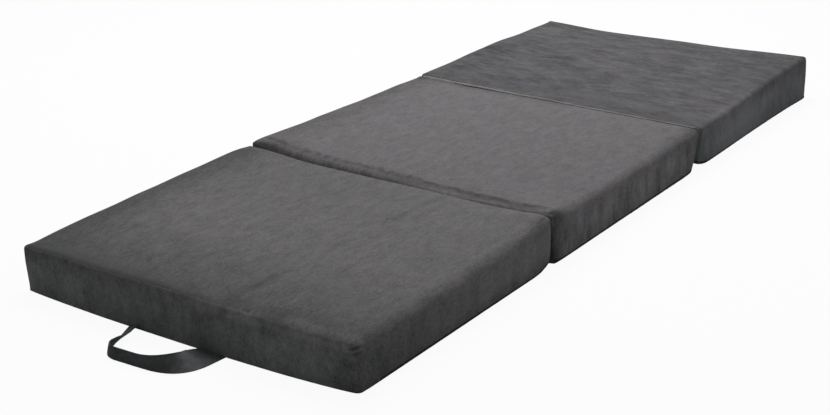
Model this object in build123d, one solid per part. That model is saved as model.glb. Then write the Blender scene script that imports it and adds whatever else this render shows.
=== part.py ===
"""Tri-fold memory foam mattress, laid flat.

Three foam sections in velour covers are sewn edge to edge: the front one along its lower edge, the
rear one along its upper edge, so the mattress folds like a Z. Each cover is a wrap over the top and the
long sides, a panel at each end and one underneath. It holds a support foam block and a memory foam layer
and closes with a zip in its left side. A strap at the front end carries it.

Millimetres. +Z is up, +Y runs from the handle end to the rear end, and the origin is the middle of the
middle section's underside.
"""

import math
import os

from build123d import *

# Overall size, laid flat, without the carry handle
overall_length = 1900.0
mattress_width = 720.0
mattress_thickness = 96.0
fold_gap = 5.0  # between two sections at the seam that joins them

# Form of a cushion
crown = 3.5  # rise of the top from its edges to its middle
cross_crown = 4.0  # rise that the top would have across its width alone
face_bulge = 2.0  # swell of an end face at half its height
side_bulge = 1.5  # swell of the right side at half its height
fold_setback = 4.0  # lean of a folding end face away from its seam
corner_radius = 10.0  # upright corners, seen from above
underside_margin = 0.02  # how far the cross outline dips below the underside
plan_margin = 0.3  # how far the upright corners' outline stands past the swollen faces
long_top_radius = 16.0  # upper edges of the long sides
long_bottom_radius = 6.0  # lower edges of the long sides
free_top_radius = 12.0  # upper edge of an end that folds nowhere
free_bottom_radius = 6.0  # lower edge of an end that folds nowhere
open_top_radius = 14.0  # upper edge at a fold that opens upwards
open_bottom_radius = 22.0  # lower edge at a fold that opens downwards
seam_edge_radius = 3.0  # edge that a fold seam runs along

# Covers and foam
cover_cloth = 1.5  # velour on its backing
foam_clearance = 0.3  # between the foam and the cover around it
bottom_seam_height = 8.0  # seam of the bottom panel, above the floor
end_seam_inset = 3.0  # seam of an end panel, in from the end that it closes
memory_layer = 28.0  # memory foam, measured at the edge of the top

# Fold seams
seam_strip = 1.2  # thickness of the strip that bridges a fold
seam_clearance = 0.3  # between the strip and the covers beside it
seam_fin = 8.0  # depth of the seam allowance that hangs in the fold
seam_fin_thickness = 2.0
seam_bead_radius = 1.5  # rolled edge of the upper fold seam

# Zips, one in the left side of each cover
zip_length = 540.0
zip_height = 48.0  # middle of the zip above the floor
zip_slot = 10.0  # opening in the cover
zip_slot_end = 4.0  # opening left beyond each zip stop
tape_width = 14.0
tape_thickness = 0.8
tape_gap = 0.8  # between the two tapes, behind the coil
tape_overrun = 6.0  # tape beyond each end of the opening
coil_width = 5.2
coil_height = 1.8
stop_length = 3.0
stop_overlap = 0.7  # how far a stop stands past the coil on each side
slider_length = 11.0
slider_clearance = 0.3  # between the slider and what it runs on
slider_flange = 1.3
slider_plate = 1.5
ear_thickness = 1.2
ear_radius = 1.6
pivot_radius = 0.7
pivot_clearance = 0.05
pivot_stand_off = 2.4  # pivot above the slider's plate
eye_radius = 1.7
eye_width = 3.4
eye_clearance = 0.2  # between the pull's eye and the ears
pull_length = 26.0
pull_width = 7.0
pull_thickness = 1.2
pull_neck = 4.5  # pivot to where the pull widens

# Carry handle
handle_offset = -5.0  # middle of the handle from the middle of the front end
handle_half_span = 89.0
handle_reach = 92.0  # middle of the strap from where it turns beside the front end
handle_squareness = 2.2  # 2 is a half ellipse, more is squarer
strap_width_left = 25.0  # gathered at its left end
strap_width_right = 46.0  # spread flat at its right end
strap_thickness = 3.0
strap_clearance = 0.3  # under the strap, and before the seam that it is sewn into
strap_root = 6.0  # length that lies flat beside the seam
strap_lean_left = 80.0  # degrees that the inner edge is tipped up, near the left end
strap_lean_right = 40.0  # and near the right end
strap_stations = 12
tab_length = 22.0  # strap end sewn inside the cover

# Worked out from the above
section_length = (overall_length - 2 * fold_gap) / 3
edge_height = mattress_thickness - crown  # height of the edges of the top
half_width = mattress_width / 2
front_end = -overall_length / 2
rear_end = overall_length / 2
layer_height = edge_height - memory_layer
fold_seams = {"front": -(section_length + fold_gap) / 2, "rear": (section_length + fold_gap) / 2}

# Each end of a section: how far its top and bottom edges stand back, and their radii
FREE = (0.0, 0.0, free_top_radius, free_bottom_radius)
SEAM_BELOW = (fold_setback, 0.0, open_top_radius, seam_edge_radius)
SEAM_ABOVE = (0.0, fold_setback, seam_edge_radius, open_bottom_radius)
SECTIONS = {
    "front": (front_end, FREE, SEAM_BELOW),
    "middle": (-section_length / 2, SEAM_BELOW, SEAM_ABOVE),
    "rear": (rear_end - section_length, SEAM_ABOVE, FREE),
}


def rounded_outline(corners, swells, radii):
    """Face on XY between four corners, anticlockwise: each side swells out by its sagitta, each corner has its radius."""
    sides = []
    for index, swell in enumerate(swells):
        start, end = corners[index], corners[(index + 1) % 4]
        sides.append(SagittaArc(start, end, -swell) if swell else Line(start, end))
    face = make_face(sides)
    for corner, radius in zip(corners, radii):
        nearest = face.vertices().sort_by_distance((*corner, 0))[0]
        face = fillet(nearest, radius)
    return face


def cushion(name, inset):
    """Solid of a section's cover, or of what fits inside it at an inset from the cover's outside."""
    start, near, far = SECTIONS[name]
    low, high = inset, edge_height - inset
    y_near, y_far = start + inset, start + section_length - inset
    x_left, x_right = -half_width + inset, half_width - inset
    near_top_back, near_bottom_back, near_top_radius, near_bottom_radius = near
    far_top_back, far_bottom_back, far_top_radius, far_bottom_radius = far

    lengthwise = rounded_outline(
        [
            (y_near + near_bottom_back, low),
            (y_far - far_bottom_back, low),
            (y_far - far_top_back, high),
            (y_near + near_top_back, high),
        ],
        [0, face_bulge, crown, face_bulge],
        [r - inset for r in (near_bottom_radius, far_bottom_radius, far_top_radius, near_top_radius)],
    )
    crosswise = rounded_outline(
        [(x_left, low - underside_margin), (x_right, low - underside_margin), (x_right, high), (x_left, high)],
        [0, side_bulge, cross_crown, 0],
        [r - inset for r in (long_bottom_radius, long_bottom_radius, long_top_radius, long_top_radius)],
    )
    x_out = x_right + side_bulge + plan_margin
    y_low = y_near + (near_top_back + near_bottom_back) / 2 - face_bulge - plan_margin
    y_high = y_far - (far_top_back + far_bottom_back) / 2 + face_bulge + plan_margin
    plan = rounded_outline(
        [(x_left, y_low), (x_out, y_low), (x_out, y_high), (x_left, y_high)],
        [0, 0, 0, 0],
        [corner_radius - inset] * 4,
    )
    across = Plane(origin=(-mattress_width, 0, 0), x_dir=(0, 1, 0), z_dir=(1, 0, 0))
    along = Plane(origin=(0, y_far + section_length, 0), x_dir=(1, 0, 0), z_dir=(0, -1, 0))
    along_x = extrude(across * lengthwise, 2 * mattress_width, dir=(1, 0, 0))
    along_y = extrude(along * crosswise, 3 * section_length, dir=(0, -1, 0))
    along_z = extrude(Pos(0, 0, -mattress_thickness) * plan, 3 * mattress_thickness, dir=(0, 0, 1))
    return along_x & along_y & along_z


def bar(x_low, x_high, y_low, y_high, z_low, z_high):
    """Box between six limits."""
    size = Box(x_high - x_low, y_high - y_low, z_high - z_low)
    return Pos((x_low + x_high) / 2, (y_low + y_high) / 2, (z_low + z_high) / 2) * size


def slab(z_low, z_high):
    """Box wider and longer than the mattress, between two heights."""
    return bar(-mattress_width, mattress_width, -overall_length, overall_length, z_low, z_high)


def stretch(y_low, y_high):
    """Box wider and higher than the mattress, between two places along it."""
    return bar(-mattress_width, mattress_width, y_low, y_high, -2 * mattress_thickness, 2 * mattress_thickness)


# Layers of a zip, from the outside of the left side inwards: x rises into the mattress
side_inside = -half_width + cover_cloth
tape_inside = side_inside + tape_thickness
coil_outside = side_inside - coil_height
plate_inside = coil_outside - slider_clearance
plate_outside = plate_inside - slider_plate
pivot_x = plate_outside - pivot_stand_off
slider_half_width = coil_width / 2 + slider_clearance + slider_flange
pivot_half_height = eye_width / 2 + eye_clearance + ear_thickness
slot_half_length = zip_length / 2 + stop_length + zip_slot_end
tape_half_length = slot_half_length + tape_overrun


def zip_slot_cutter(y_middle):
    """Opening for a zip in the left side of a cover."""
    return bar(
        -2 * half_width,
        side_inside + cover_cloth,
        y_middle - slot_half_length,
        y_middle + slot_half_length,
        zip_height - zip_slot / 2,
        zip_height + zip_slot / 2,
    )


def zip_pocket(y_middle):
    """Room in the foam for a zip's tapes."""
    return bar(
        -2 * half_width,
        tape_inside + foam_clearance,
        y_middle - tape_half_length - foam_clearance,
        y_middle + tape_half_length + foam_clearance,
        zip_height - tape_width - foam_clearance,
        zip_height + tape_width + foam_clearance,
    )


def zip_tapes(y_middle):
    """Upper and lower tape, sewn to the inside of the cover."""
    tapes = []
    for side in (-1, 1):
        edges = sorted((zip_height + side * tape_gap / 2, zip_height + side * tape_width))
        tape = bar(side_inside, tape_inside, y_middle - tape_half_length, y_middle + tape_half_length, *edges)
        tapes.append(tape)
    return Compound(children=tapes)


def zip_coil(y_middle):
    """Closed coil on the outside of the tapes: a half-round bar."""
    half = coil_width / 2
    outline = make_face(
        [
            Line((side_inside, zip_height - half), (side_inside, zip_height + half)),
            ThreePointArc(
                (side_inside, zip_height + half), (coil_outside, zip_height), (side_inside, zip_height - half)
            ),
        ]
    )
    end = Plane(origin=(0, y_middle + zip_length / 2, 0), x_dir=(1, 0, 0), z_dir=(0, -1, 0))
    return extrude(end * outline, zip_length, dir=(0, -1, 0))


def zip_stops(y_middle):
    """Metal stop at each end of the coil."""
    half = coil_width / 2 + stop_overlap
    stops = []
    for side in (-1, 1):
        ends = sorted((y_middle + side * zip_length / 2, y_middle + side * (zip_length / 2 + stop_length)))
        stop = bar(coil_outside, side_inside, *ends, zip_height - half, zip_height + half)
        stops.append(fillet(stop.edges().group_by(Axis.X)[0], stop_overlap))
    return Compound(children=stops)


def zip_slider(y_middle):
    """Slider over the coil, with two ears and the pin that the pull turns on."""
    y_low, y_high = y_middle - slider_length / 2, y_middle + slider_length / 2
    foot = side_inside - slider_clearance
    body = bar(plate_outside, foot, y_low, y_high, zip_height - slider_half_width, zip_height + slider_half_width)
    body = fillet(body.edges().filter_by(Axis.X), slider_flange)
    half = coil_width / 2 + slider_clearance
    body -= bar(plate_inside, 0, y_low - 1, y_high + 1, zip_height - half, zip_height + half)
    for side in (-1, 1):
        faces = sorted((side * (pivot_half_height - ear_thickness), side * pivot_half_height))
        ear = bar(
            pivot_x,
            plate_inside,
            y_middle - ear_radius,
            y_middle + ear_radius,
            zip_height + faces[0],
            zip_height + faces[1],
        )
        knuckle = Pos(pivot_x, y_middle, zip_height + sum(faces) / 2) * Cylinder(ear_radius, ear_thickness)
        body += ear
        body += knuckle
    pin = Pos(pivot_x, y_middle, zip_height) * Cylinder(pivot_radius, 2 * pivot_half_height)
    return body + pin


def zip_pull(y_middle):
    """Pull tab lying back along the side: an eye round the pin, a neck between the ears, and a rounded blade."""
    turn = Pos(pivot_x, y_middle, zip_height)
    eye = Cylinder(eye_radius, eye_width)
    neck = bar(-pull_thickness / 2, pull_thickness / 2, 0, pull_neck + 1, -eye_width / 2, eye_width / 2)
    blade = bar(
        -pull_thickness / 2, pull_thickness / 2, pull_neck, pull_length, -pull_width / 2, pull_width / 2
    )
    blade = fillet(blade.edges().filter_by(Axis.X), pull_width / 4)
    hole = Cylinder(pivot_radius + pivot_clearance, 2 * eye_width)
    return turn * (eye + neck + blade - hole)


def strap_place(share):
    """Spot on the floor under the strap at a share of its way from left to right: a squared half ellipse."""
    angle = math.pi * (1 - share)
    power = 2 / handle_squareness
    x = handle_half_span * math.copysign(abs(math.cos(angle)) ** power, math.cos(angle))
    y = handle_reach * abs(math.sin(angle)) ** power
    return handle_offset + x, strap_turn - y


def strap_width(share):
    """Width of the strap at a share of its way, which spreads towards its right end."""
    return strap_width_left + (strap_width_right - strap_width_left) * share**2


def strap_section(place, heading, lean, width):
    """Oblong across the strap, its outer edge just above the floor and its inner edge tipped up by its lean."""
    tip = math.radians(lean)
    rise = (width * math.sin(tip) + strap_thickness * math.cos(tip)) / 2
    inward = Vector(-heading.Y, heading.X, 0)
    across = inward * math.cos(tip) + Vector(0, 0, 1) * math.sin(tip)
    middle = Vector(place[0], place[1], strap_clearance + rise)
    return Plane(origin=middle, x_dir=across, z_dir=heading) * Rectangle(width, strap_thickness)


def handle_strap():
    """Strap from the left of the seam, out along the floor on its outer edge, and back to the right of the seam."""
    left, right = handle_offset - handle_half_span, handle_offset + handle_half_span
    away, back = Vector(0, -1, 0), Vector(0, 1, 0)
    sections = [strap_section((left, strap_seat), away, 0, strap_width(0))]
    for index in range(strap_stations + 1):
        share = index / strap_stations
        before, after = strap_place(max(share - 0.01, 0)), strap_place(min(share + 0.01, 1))
        heading = Vector(after[0] - before[0], after[1] - before[1], 0).normalized()
        if index == 0:
            heading = away
        if index == strap_stations:
            heading = back
        lean = strap_lean_left + (strap_lean_right - strap_lean_left) * share
        lean *= math.sin(math.pi * share) ** 0.7
        sections.append(strap_section(strap_place(share), heading, lean, strap_width(share)))
    sections.append(strap_section((right, strap_seat), back, 0, strap_width(1)))
    return loft(sections)


def strap_tabs(growth):
    """Ends of the strap inside the cover, lying on the bottom panel, or the room for them in the foam."""
    tabs = []
    for side in (-1, 1):
        middle = handle_offset + side * handle_half_span
        half = strap_width((1 + side) / 2) / 2
        tab = bar(
            middle - half - growth,
            middle + half + growth,
            tab_start - growth,
            tab_start + tab_length + growth,
            cover_cloth - growth,
            cover_cloth + strap_thickness + growth,
        )
        tabs.append(tab)
    return Compound(children=tabs)


def fold_seam(y_middle, z_edge, inwards):
    """Strip across a fold with its seam allowance turned inwards: 1 is up from the floor, -1 is down from the top."""
    reach = half_width - corner_radius
    strip_edges = sorted((z_edge, z_edge + inwards * seam_strip))
    fin_edges = sorted((z_edge, z_edge + inwards * seam_fin))
    strip = bar(-reach, reach, y_middle - fold_gap / 2, y_middle + fold_gap / 2, *strip_edges)
    half = seam_fin_thickness / 2
    return strip + bar(-reach, reach, y_middle - half, y_middle + half, *fin_edges)


# The strap's ends stop just clear of the rounded lower edge, measured at the strap's upper face
face_slope = 4 * face_bulge / edge_height
strap_top = strap_clearance + strap_thickness
edge_centre = front_end + free_bottom_radius * math.tan(math.pi / 4 - face_slope / 2)
edge_at_strap = math.sqrt(free_bottom_radius**2 - (free_bottom_radius - strap_top) ** 2)
strap_seat = edge_centre - edge_at_strap - strap_clearance
strap_turn = front_end - face_bulge - strap_root
tab_start = front_end + free_bottom_radius + foam_clearance

parts = {}
for name, (start, near, far) in SECTIONS.items():
    y_middle = start + section_length / 2
    y_slider = y_middle - zip_length / 2 + slider_length / 2 + slider_clearance
    inside = cushion(name, cover_cloth)
    cover = cushion(name, 0) - inside
    foam = cushion(name, cover_cloth + foam_clearance) - zip_pocket(y_middle)
    if name == "front":
        foam -= strap_tabs(foam_clearance)
    near_seam = start + max(near[:2]) + end_seam_inset
    far_seam = start + section_length - max(far[:2]) - end_seam_inset
    upper = cover & slab(bottom_seam_height, 2 * mattress_thickness)
    parts[f"{name}_wrap_panel"] = (upper & stretch(near_seam, far_seam)) - zip_slot_cutter(y_middle)
    parts[f"{name}_near_panel"] = upper & stretch(start - section_length, near_seam)
    parts[f"{name}_far_panel"] = upper & stretch(far_seam, far_seam + section_length)
    parts[f"{name}_bottom_panel"] = cover & slab(-mattress_thickness, bottom_seam_height)
    parts[f"{name}_memory_foam"] = foam & slab(layer_height, 2 * mattress_thickness)
    parts[f"{name}_support_foam"] = foam & slab(-mattress_thickness, layer_height)
    parts[f"{name}_zip_tapes"] = zip_tapes(y_middle)
    parts[f"{name}_zip_coil"] = zip_coil(y_middle)
    parts[f"{name}_zip_stops"] = zip_stops(y_middle)
    parts[f"{name}_zip_slider"] = zip_slider(y_slider)
    parts[f"{name}_zip_pull"] = zip_pull(y_slider)

bead_height = edge_height + seam_bead_radius / 2
reach = half_width - corner_radius
bead = Pos(0, fold_seams["rear"], bead_height) * Rot(0, 90, 0) * Cylinder(seam_bead_radius, 2 * reach)
parts["front_fold_seam"] = fold_seam(fold_seams["front"], seam_clearance, 1)
parts["rear_fold_seam"] = fold_seam(fold_seams["rear"], edge_height - seam_clearance, -1) + bead
parts["handle_strap"] = handle_strap()
parts["handle_tabs"] = strap_tabs(0)

os.makedirs("parts", exist_ok=True)
for name, shape in parts.items():
    export_step(shape, f"parts/{name}.step")
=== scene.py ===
"""Dresses the tri-fold memory foam mattress: velour covers over their foam, fold seams, strap handle and zips.

Lengths in the formulas are millimetres, in the frame of the solids: x across, y from the handle end to the
rear end, z up. Within a section, y starts at its near end. Meshes are stored in metres.
"""

import math

import bmesh
import bpy
import mathutils
import numpy as np
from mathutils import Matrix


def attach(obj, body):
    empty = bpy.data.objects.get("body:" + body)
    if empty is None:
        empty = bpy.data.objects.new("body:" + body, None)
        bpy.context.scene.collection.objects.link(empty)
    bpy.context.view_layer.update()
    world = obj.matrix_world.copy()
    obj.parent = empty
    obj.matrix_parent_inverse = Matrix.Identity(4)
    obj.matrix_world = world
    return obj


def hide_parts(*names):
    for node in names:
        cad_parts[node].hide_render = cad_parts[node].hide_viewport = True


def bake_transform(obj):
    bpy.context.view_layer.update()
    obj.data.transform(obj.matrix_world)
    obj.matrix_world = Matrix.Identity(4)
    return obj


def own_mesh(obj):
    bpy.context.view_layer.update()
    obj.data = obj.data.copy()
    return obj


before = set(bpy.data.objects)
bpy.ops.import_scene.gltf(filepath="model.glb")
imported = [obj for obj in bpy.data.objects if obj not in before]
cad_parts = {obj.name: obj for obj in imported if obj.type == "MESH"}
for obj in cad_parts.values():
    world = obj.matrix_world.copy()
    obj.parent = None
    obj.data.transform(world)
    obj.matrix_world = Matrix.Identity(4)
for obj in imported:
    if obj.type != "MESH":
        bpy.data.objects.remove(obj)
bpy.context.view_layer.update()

# The mattress, as the solids have it, apart from its filled covers, which reach 3 mm past them at each side
LENGTH = 1900.0
WIDTH = 726.0
THICKNESS = 96.0
FOLD_GAP = 5.0
CROWN = 3.5
CROWN_POWER = 2.4  # how square the arches of the crown are
CLOTH = 1.5
SEAM_CLOTH = 1.2
SECTION = (LENGTH - 2 * FOLD_GAP) / 3
EDGE = THICKNESS - CROWN
LEFT, RIGHT = -WIDTH / 2, WIDTH / 2
# the bottom panel reaches this high up the sides; its near-black colour also paints the shade along the lower edges
BOTTOM_SEAM = 6.0
MEMORY_LAYER = 28.0
FOAM_INSET = CLOTH + 0.3
FLOOR_CLEARANCE = 0.2
LONG_RADII = (4.0, 10.0)  # lower edges of the long sides, and the upper left edge
SIDE_BULGE = 1.5
EAR = 22.0  # size of the pointed corners of the free ends

# Zip in the left side of each cover
ZIP_HEIGHT = 48.0
ZIP_SLOT = 13.6
SLOT_HALF = 277.0
ZIP_HALF = 270.0
COIL_WIDTH = 5.2
COIL_HEIGHT = 1.8
COIL_PITCH = 2.0
COIL_WIRE = 0.42

# Carry handle: the corners of its outer edge on the floor, and how far from each bend's corner it starts to turn
HANDLE_CORNERS = ((-109.0, -952.5), (-64.0, -1062.0), (96.0, -1056.0), (105.2, -952.5))
HANDLE_BENDS = (26.0, 68.0)
STRAP_WIDTHS = (22.5, 60.0)  # over its left and middle part, and at its right end
STRAP_THICKNESS = 3.0
STRAP_LIFT = 0.4

# Each end of a section: the setback of its top edge, that of its bottom edge at the left and right, the radii of
# its lower and upper edges, those of its left and right upright corners, how far it swells, and how deep its
# seam draws in
END_KEYS = ("top_back", "bottom_back", "radii", "upright", "bulge", "groove")
FREE = dict(zip(END_KEYS, (0.0, (0, 0), (5.0, 13.0), (8.0, 17.0), 2.0, 0.05)))
CRISP_BELOW = dict(zip(END_KEYS, (0.0, (0, 6), (10.0, 6.0), (14.0, 5.0), 2.0, 0.1)))
NOSE_BELOW = dict(zip(END_KEYS, (1.5, (0, 3), (6.0, 34.0), (3.0, 10.0), -2.5, 0.05)))
LEANING_ABOVE = dict(zip(END_KEYS, (0.0, (12, 24), (14.0, 4.0), (3.0, 6.0), 2.0, 0.3)))
ROUNDED_ABOVE = dict(zip(END_KEYS, (0.0, (-2, -14), (30.0, 4.0), (7.0, 14.0), 2.0, 0.3)))
LAST = dict(zip(END_KEYS, (0.0, (0, 0), (5.0, 9.0), (8.0, 16.0), 2.0, 0.12)))
END_REACH = 110.0  # how far into a section the lean of its end is felt
# Each section: where it starts, its near and far ends, and the radius of its upper right edge
SECTIONS = {
    "front": (-LENGTH / 2, FREE, CRISP_BELOW, 22.0),
    "middle": (-SECTION / 2, NOSE_BELOW, LEANING_ABOVE, 16.0),
    "rear": (LENGTH / 2 - SECTION, ROUNDED_ABOVE, LAST, 9.0),
}

# How the sections sit out of true: the lift of the left edge, the skew of the front fold's right end and its
# reach, and the humps that lift or drop a top, each with its height, its place and its size across and along
LEFT_LIFT = 6.2
FOLD_SKEW = 15.0
SKEW_REACH = 330.0
LIFTS = {
    "front": (
        (-4.0, LEFT, 0, 160, 170),
        (-6.0, LEFT, 0, 60, 60),
        (7.0, LEFT, SECTION, 90, 260),
        (-5.0, LEFT, SECTION, 60, 36),
        (3.0, RIGHT, SECTION, 200, 160),
        (7.5, RIGHT, SECTION, 70, 50),
        (3.0, RIGHT, SECTION, 220, 60),
    ),
    "middle": (
        (8.0, LEFT, 0, 90, 230),
        (-4.0, LEFT, SECTION, 160, 160),
        (4.0, RIGHT, 0, 220, 120),
        (3.0, RIGHT, 0, 220, 60),
        (7.5, RIGHT, 0, 70, 50),
    ),
    "rear": (
        (4.0, LEFT, 330, 90, 110),
        (-1.5, LEFT, 0, 160, 160),
    ),
}

# Panels of a cover, the panel that each side of the box is cut from, and the widths of the strips along the long
# sides, the ends and the top where its grid is finer
PANELS = ("wrap", "near", "far", "bottom")
SIDE_PANELS = dict(top="wrap", bottom="bottom", near="near", far="far", right="wrap", left="wrap")
SIDE_BAND, END_BAND, TOP_BAND = 30.0, 28.0, 14.0

# Cloth simulation that swells a cover: its settings, its frames, and how far a point may move
SWELL = {
    "quality": 6,
    "mass": 0.3,
    "tension_stiffness": 30,
    "compression_stiffness": 30,
    "shear_stiffness": 15,
    "bending_stiffness": 0.4,
    "use_pressure": True,
    "uniform_pressure_force": 2.0,
}
SWELL_FRAMES = 20
SWELL_REACH = 1.6

# Nap: what keeps a dark line off the rest of a cover, and the dark marks on the rear top, each with its strength,
# its place and its size across and along
FAR_OFF = 1000
REAR_MARKS = (
    (0.2, LEFT, 330, 200, 260),
    (0.16, RIGHT, 560, 200, 200),
    (0.08, -80, 190, 280, 150),
    (-0.18, -220, 243, 60, 60),
    (-0.18, -295, 490, 70, 70),
    (0.16, -143, 300, 45, 45),
)

# Stage, in metres: the even light, the lamp, and the camera that was solved from the photo
SKY_STRENGTH = 0.29
KEY_LAMP = dict(place=(-0.7, 0.8, 2.8), aim=(0, 0.2, 0), size=2.0, watts=95)
CAMERA = dict(azimuth=33.79, elevation=21.10, distance=3.2315, aim=(-0.0188, -0.2151, 0.0), lens=69.0)
SENSOR_WIDTH = 36.0
FLOOR_HALF = 30
FLOOR_DROP = 0.0005
FLOOR_WHITENESS = 0.94


def linear(hex_colour):
    """sRGB hex colour as linear red, green, blue and alpha."""
    parts = [int(hex_colour[i : i + 2], 16) / 255 for i in (1, 3, 5)]
    return (*[c / 12.92 if c <= 0.04045 else ((c + 0.055) / 1.055) ** 2.4 for c in parts], 1.0)


def smooth(low, high, value):
    """0 at low and before it, 1 at high and past it, and an S-curve between them. low may be the larger one."""
    t = np.clip((value - low) / (high - low), 0.0, 1.0)
    return t * t * (3 - 2 * t)


def between(first, last, share):
    """Value at a share of the way from the first to the last."""
    return first + (last - first) * share


def bell(value, middle, width):
    """Bell curve of height 1 at its middle."""
    return np.exp(-(((value - middle) / width) ** 2))


def hump(x, y, x0, y0, wide, long):
    """Rounded hump of height 1 at (x0, y0)."""
    return np.exp(-(((x - x0) / wide) ** 2) - ((y - y0) / long) ** 2)


def humps(x, y, table):
    """Sum of the humps in a table of heights, places and sizes."""
    return sum(height * hump(x, y, *where) for height, *where in table)


def waves(x, y, seed, shortest, longest, count):
    """Gentle unevenness between about -1 and 1: a sum of plane waves with seeded headings, lengths and phases."""
    rng = np.random.default_rng(seed)
    heading = rng.uniform(0, 2 * np.pi, count)
    number = 2 * np.pi / rng.uniform(shortest, longest, count)
    phase = rng.uniform(0, 2 * np.pi, count)
    along = np.multiply.outer(x, np.cos(heading) * number) + np.multiply.outer(y, np.sin(heading) * number)
    return np.sin(along + phase).sum(axis=-1) / math.sqrt(count)


def piece(name, points, faces, material, body, replaces=()):
    """New mesh object from points in millimetres and their faces, without the points that no face uses. Returns it
    and the numbers of the points that it uses."""
    used, packed = np.unique(faces, return_inverse=True)
    mesh = bpy.data.meshes.new(name)
    mesh.from_pydata((points[used] * 0.001).tolist(), [], packed.reshape(np.shape(faces)).tolist())
    mesh.polygons.foreach_set("use_smooth", np.ones(len(mesh.polygons), bool))
    mesh.materials.append(material)
    mesh.update()
    obj = bpy.data.objects.new(name, mesh)
    bpy.context.scene.collection.objects.link(obj)
    if replaces:
        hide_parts(*replaces)
    if body:
        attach(obj, body)
    return obj, used


def mark_points(obj, name, values):
    """Stores a number at each point of a mesh, for its material to read."""
    obj.data.attributes.new(name, "FLOAT", "POINT").data.foreach_set("value", values)


def thicken(obj, thickness, offset):
    """Gives a sheet its thickness: offset -1 grows it inwards and 0 to both sides."""
    solid = obj.modifiers.new("cloth", "SOLIDIFY")
    solid.thickness = thickness * 0.001
    solid.offset = offset


def merged(obj):
    """Merges the points of a mesh that lie in one place, so that its tubes and ends are closed."""
    work = bmesh.new()
    work.from_mesh(obj.data)
    bmesh.ops.remove_doubles(work, verts=work.verts, dist=1e-6)
    work.to_mesh(obj.data)
    work.free()
    return obj


def grid_quads(ids, flip=False):
    """Quads of one or more two-way grids of vertex numbers, turned over when flip is true."""
    corners = [ids[..., :-1, :-1], ids[..., 1:, :-1], ids[..., 1:, 1:], ids[..., :-1, 1:]]
    if flip:
        corners.reverse()
    return np.stack(corners, axis=-1).reshape(-1, 4)


def runs(*stops):
    """Places along a line: each (end, count) run is cut evenly from where the one before it stopped."""
    places = [np.array([stops[0]])]
    for end, count in stops[1:]:
        places.append(np.linspace(places[-1][-1], end, count + 1)[1:])
    return np.concatenate(places)


def box_grid(xs, ys, zs):
    """Closed box of quads on three sets of grid lines. Returns its points and the quads of its six sides by name,
    as vertex numbers that neighbouring sides share."""
    nx, ny, nz = len(xs) - 1, len(ys) - 1, len(zs) - 1
    number = np.arange((nx + 1) * (ny + 1) * (nz + 1)).reshape(nx + 1, ny + 1, nz + 1)
    sides = {
        "top": grid_quads(number[:, :, nz]),
        "bottom": grid_quads(number[:, :, 0], flip=True),
        "near": grid_quads(number[:, 0, :]),
        "far": grid_quads(number[:, ny, :], flip=True),
        "right": grid_quads(number[nx, :, :]),
        "left": grid_quads(number[0, :, :], flip=True),
    }
    used, packed = np.unique(np.concatenate(list(sides.values())), return_inverse=True)
    packed = packed.reshape(-1, 4)
    ends = np.cumsum([len(q) for q in sides.values()])[:-1]
    lattice = np.stack(np.meshgrid(xs, ys, zs, indexing="ij"), axis=-1).reshape(-1, 3)
    return lattice[used], dict(zip(sides, np.split(packed, ends)))


def edge_radii(flat, near, far, right_radius):
    """Radius of the rounding at each point of a section's sharp box: that of the nearest kind of edge, with the kinds
    weighed by the inverse cube of their distance. Corners of the free ends keep a pointed ear."""
    x, y, z = flat.T
    from_side = RIGHT - np.abs(x)
    from_end = np.minimum(y, SECTION - y)
    from_face = np.minimum(z, EDGE - z)
    upper, later = smooth(0.3, 0.7, z / EDGE), smooth(0.3, 0.7, y / SECTION)
    near_radius, far_radius = (between(*end["radii"], upper) for end in (near, far))
    if far is CRISP_BELOW:
        far_radius = far_radius + 7 * smooth(45, 0, RIGHT - x)
    if near is NOSE_BELOW:
        near_radius = near_radius * (1 - np.where(x < 0, 0.75, 0.5) * smooth(60, 0, from_side))
    end_radius = between(near_radius, far_radius, later)
    long_radius = between(LONG_RADII[0], np.where(x < 0, LONG_RADII[1], right_radius), upper)
    upright = between(*(np.where(x < 0, *end["upright"]) for end in (near, far)), later)
    kinds = [
        (from_side + from_face, long_radius),
        (from_end + from_face, end_radius),
        (from_side + from_end, upright),
    ]
    weights = [1 / (distance + 2) ** 3 for distance, _ in kinds]
    radius = sum(w * r for w, (_, r) in zip(weights, kinds)) / sum(weights)
    free = np.where(later < 0.5, near is FREE, far is LAST)
    ear = free * upper * np.exp(-((from_side**2 + from_end**2) / EAR**2))
    return radius * (1 - 0.3 * ear)


def rounded(flat, radius, low, high):
    """Sharp box rounded off: beyond the inner box, a point moves onto a ball of its radius round the inner box."""
    middle, half = (low + high) / 2, (high - low) / 2
    offset = flat - middle
    inner = half - radius[:, None]
    past = np.maximum(np.abs(offset) - inner, 0) / radius[:, None]
    past /= np.maximum(np.linalg.norm(past, axis=1), 1e-9)[:, None]
    return middle + np.sign(offset) * (np.minimum(np.abs(offset), inner) + past * radius[:, None])


def relaxed(points, quads, share, rounds):
    """Points drawn towards the middle of their neighbours, by a share at each of them, in a number of rounds."""
    ends = np.concatenate([quads[:, [k, (k + 1) % 4]] for k in range(4)])
    ends = np.concatenate([ends, ends[:, ::-1]])
    count = np.bincount(ends[:, 0], minlength=len(points))[:, None]
    for _ in range(rounds):
        sums = [np.bincount(ends[:, 0], points[ends[:, 1], k], len(points)) for k in range(3)]
        points = points + share[:, None] * (np.stack(sums, axis=1) / count - points)
    return points


def crown_arch(x, y):
    """Two crossed arches, 1 in the middle of a section and 0 along its edges."""
    across, along = 2 * x / WIDTH, 2 * y / SECTION - 1
    return (1 - np.abs(across) ** CROWN_POWER) * (1 - np.abs(along) ** CROWN_POWER)


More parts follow.
